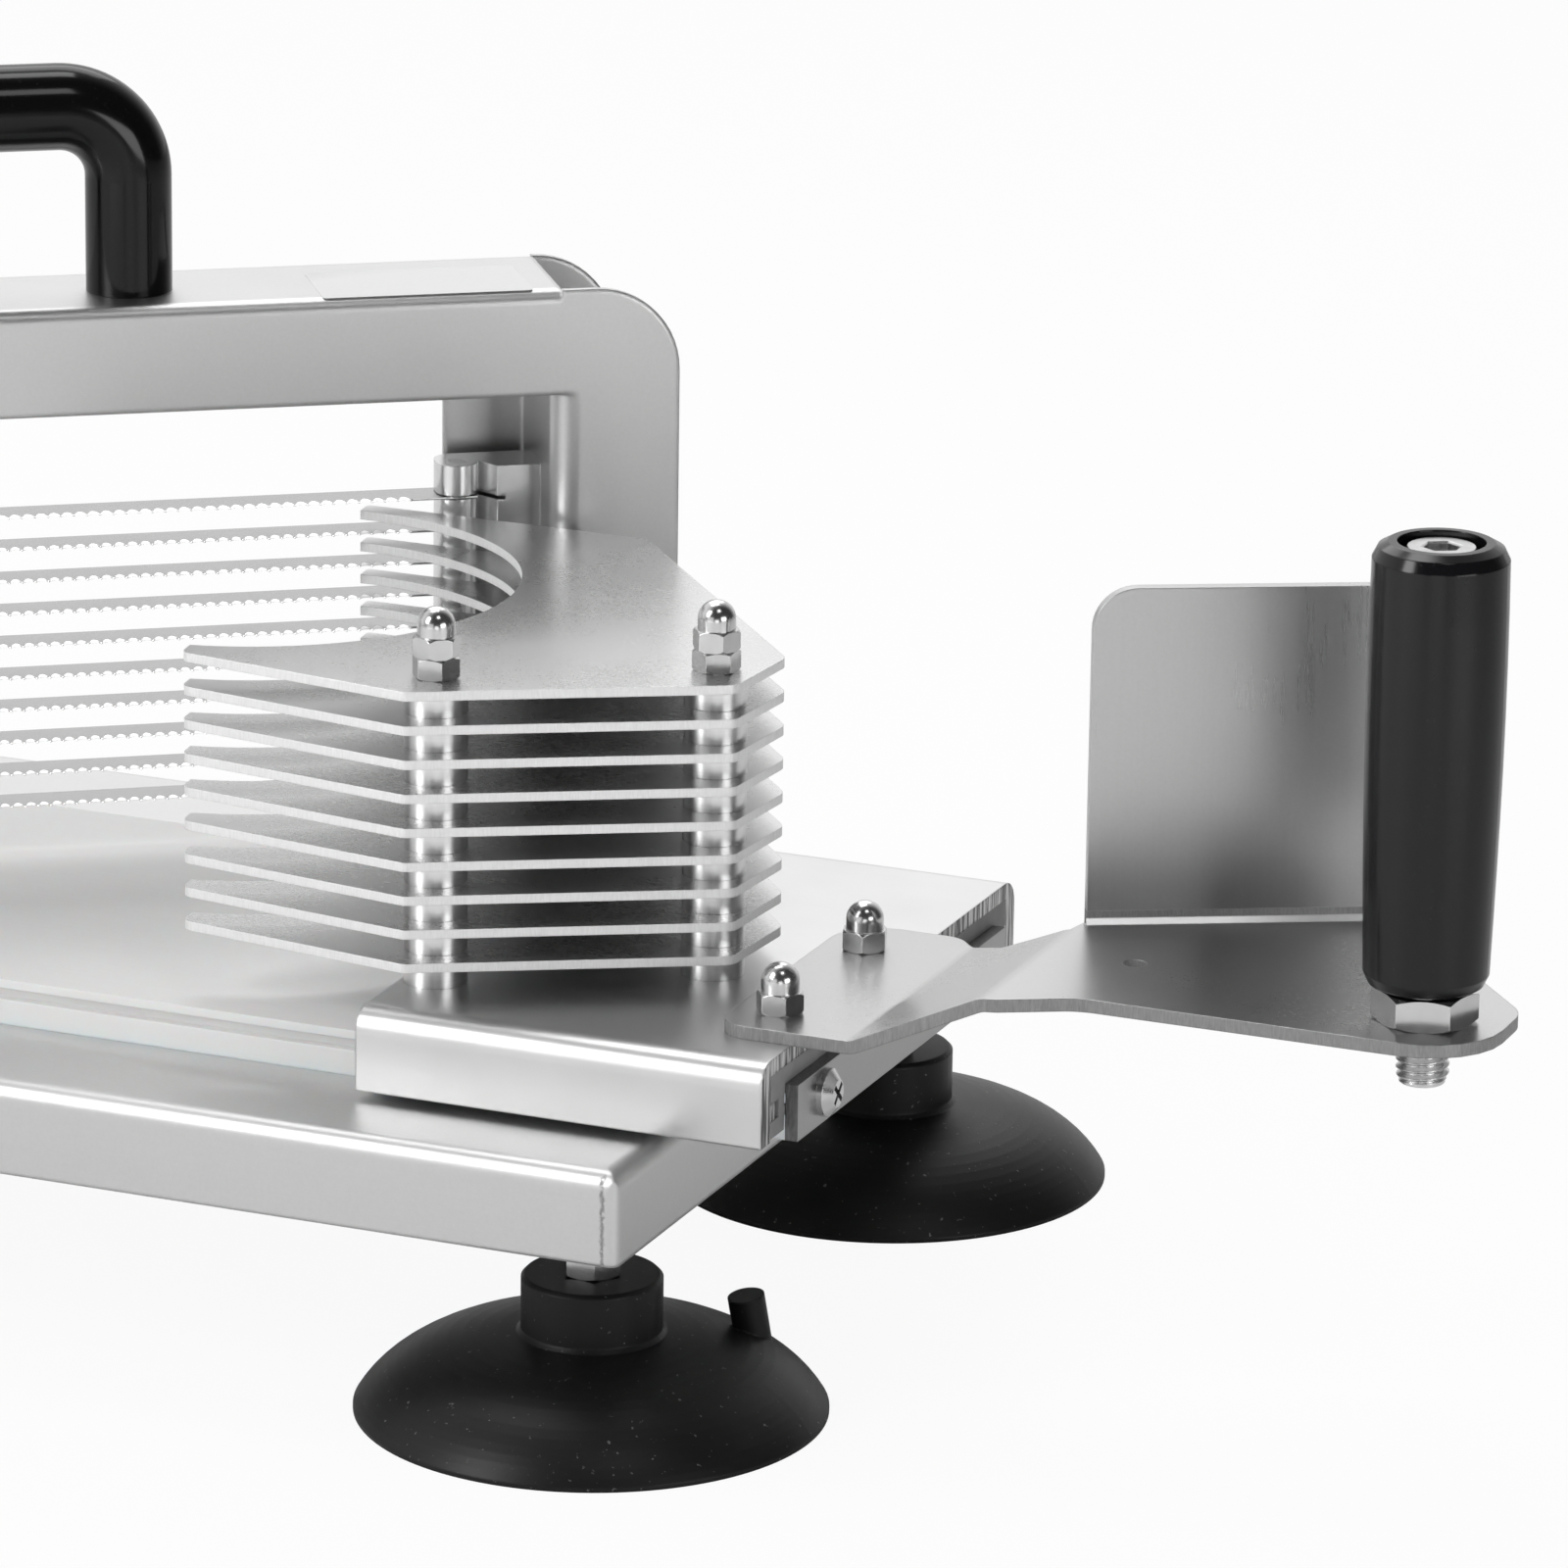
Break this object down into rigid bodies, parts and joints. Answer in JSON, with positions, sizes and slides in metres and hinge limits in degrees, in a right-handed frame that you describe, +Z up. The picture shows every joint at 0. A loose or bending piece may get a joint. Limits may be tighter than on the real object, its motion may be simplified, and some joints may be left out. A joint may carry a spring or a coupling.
{
  "type": "tomato slicer",
  "caption": "Bench slicer: a sliding pusher of stacked plates drives a tomato through slanted serrated blades in a bridge, on a pan with suction feet.",
  "frame": {"origin": "on the table plane, under the middle of the bounding box of the whole slicer with its pusher drawn back; the base pan's centre is at x = -0.06", "axes": "+X along the slide towards the grip, +Y across the base away from the front side, +Z up"},
  "size_m": [0.5044, 0.2364, 0.225],
  "materials": {
    "stainless": "fine brushed grain, satin",
    "polished_steel": "polished",
    "blade_steel": "ground, bright edge",
    "aluminium_extrusion": "matt anodised with saw-cut ends",
    "white_pe": "milled, slightly translucent",
    "grey_plastic": "moulded, dull",
    "black_rubber": "moulded, satin",
    "black_gloss": "glossy, moulded",
    "black_grip": "satin gloss, moulded"
  },
  "bodies": {
    "base": {"base_pan": "stainless", "cup_front_right": "black_rubber", "cup_back_right": "black_rubber", "cup_front_left": "black_rubber", "cup_back_left": "black_rubber", "foot_studs": "polished_steel", "foot_nuts": "polished_steel", "foot_weld_nuts": "stainless", "slide_board": "white_pe", "board_screws": "polished_steel", "end_strip": "stainless", "strip_screws": "polished_steel", "bridge": "stainless", "bridge_bolts": "polished_steel", "bridge_nuts": "polished_steel", "carry_handle": "black_gloss", "carry_handle_screws": "polished_steel", "blade_holder_right": "stainless", "blade_holder_left": "stainless", "holder_screws": "polished_steel", "blade_pins": "polished_steel", "blade_1": "blade_steel", "blade_2": "blade_steel", "blade_3": "blade_steel", "blade_4": "blade_steel", "blade_5": "blade_steel", "blade_6": "blade_steel", "blade_7": "blade_steel", "blade_8": "blade_steel", "blade_9": "blade_steel", "blade_10": "blade_steel"},
    "pusher": {"carriage": "aluminium_extrusion", "carriage_liner": "grey_plastic", "pusher_plate_1": "stainless", "pusher_plate_2": "stainless", "pusher_plate_3": "stainless", "pusher_plate_4": "stainless", "pusher_plate_5": "stainless", "pusher_plate_6": "stainless", "pusher_plate_7": "stainless", "pusher_plate_8": "stainless", "pusher_plate_9": "stainless", "spacers": "aluminium_extrusion", "pusher_rods": "polished_steel", "rod_nuts": "polished_steel", "rod_cap_nuts": "polished_steel", "handle_plate": "stainless", "handle_bolts": "polished_steel", "handle_cap_nuts": "polished_steel", "grip_spindle": "polished_steel", "grip_nut": "polished_steel"},
    "handgrip": {"grip": "black_grip"}
  },
  "joints": [
    {"name": "pusher_slide", "type": "slide", "parent": "base", "child": "pusher", "axis": [1, 0, 0], "range_m": [-0.14, 0]},
    {"name": "grip_turn", "type": "hinge", "parent": "pusher", "child": "handgrip", "pos_m": [0.2372, -0.041, 0.135], "axis": [0, 0, 1], "continuous": true}
  ]
}
